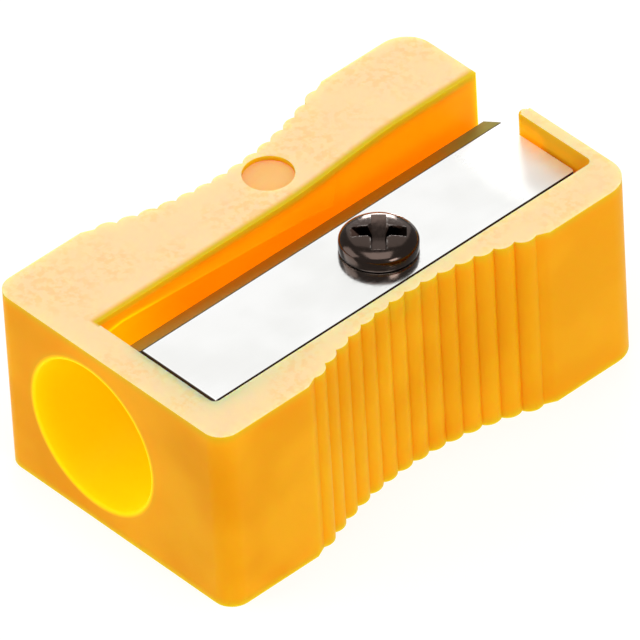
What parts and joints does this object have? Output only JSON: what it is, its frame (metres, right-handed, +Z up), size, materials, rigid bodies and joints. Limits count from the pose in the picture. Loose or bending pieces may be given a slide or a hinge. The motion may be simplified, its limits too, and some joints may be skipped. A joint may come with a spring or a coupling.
{
  "type": "pencil sharpener",
  "caption": "Hand-held wedge pencil sharpener: waisted ribbed plastic housing with a conical bore, a skewed steel blade and its cross-recessed screw.",
  "frame": {"origin": "centre of the housing's flat bottom face, which is also the bottom centre of the whole part's box", "axes": "+Y along the length from the pencil's entry face to the stop behind the blade, +X across towards the blade screw, +Z up out of the blade's side"},
  "size_m": [0.015, 0.0252, 0.0104],
  "materials": {
    "housing_plastic": "translucent yellow moulding, satin on the flat faces and glossy in the grip ribs",
    "blade_steel": "hardened carbon steel, lapped bright on top with a ground bevel",
    "screw_steel": "black-nickel plated steel, polished"
  },
  "bodies": {
    "body": {"housing": "housing_plastic"},
    "blade": {"blade": "blade_steel"},
    "screw": {"blade_screw": "screw_steel"}
  },
  "joints": [
    {"name": "blade_lift", "type": "slide", "parent": "body", "child": "blade", "axis": [-0.0021, 0.0488, 0.9988], "range_m": [0, 0.0064]},
    {"name": "screw_turn", "type": "hinge", "parent": "blade", "child": "screw", "pos_m": [0.00229, 0.00168, 0.00876], "axis": [-0.0021, 0.0488, 0.9988], "range_deg": [0, 2880]}
  ],
  "couplings": [
    {"joint": "screw_turn", "follows": "blade_lift", "rad_per_m": 7854}
  ]
}
